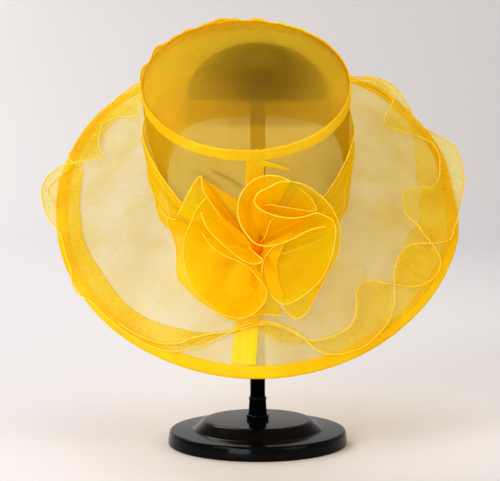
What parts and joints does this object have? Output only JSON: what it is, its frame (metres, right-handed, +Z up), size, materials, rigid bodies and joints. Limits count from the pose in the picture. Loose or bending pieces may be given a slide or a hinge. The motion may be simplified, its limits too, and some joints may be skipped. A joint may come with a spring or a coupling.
{
  "type": "summer hat on a display stand",
  "caption": "Wide-brimmed organza summer hat with a flat-topped crown, a ruffle round the brim and a ribbon flower, on a black domed stand.",
  "frame": {"origin": "centre of the stand's underside", "axes": "+Z up along the stand's post, -Y towards the viewer and the hat's front, +X to the viewer's right"},
  "size_m": [0.4208, 0.3567, 0.3973],
  "materials": {
    "organza_wall": "sheer yellow organza",
    "organza_brim": "single layer of sheer pale yellow organza",
    "organza_hem": "doubled yellow organza, brighter where it is folded",
    "organza_flower": "looped organza ribbon with a rolled edge, deep yellow where layers overlap",
    "black_plastic": "glossy moulded black plastic"
  },
  "bodies": {
    "root": {"crown_tip": "organza_wall", "crown_side": "organza_wall", "crown_binding": "organza_hem", "binding_end": "organza_hem", "crown_seam": "organza_hem", "brim": "organza_brim", "brim_hem": "organza_hem", "brim_seam": "organza_hem", "hat_band": "organza_hem", "ruffle": "organza_hem", "flower_heart": "organza_flower", "petal_cup": "organza_flower", "petal_loop": "organza_flower", "petal_right_back": "organza_flower", "petal_right_round": "organza_flower", "petal_pointed": "organza_flower", "petal_leaf": "organza_flower", "petal_left_large": "organza_flower", "petal_left_back": "organza_flower", "petal_top_back": "organza_flower", "stand_base": "black_plastic", "stand_collar": "black_plastic", "stand_lower_post": "black_plastic", "stand_upper_post": "black_plastic", "stand_dome": "black_plastic"}
  },
  "joints": []
}
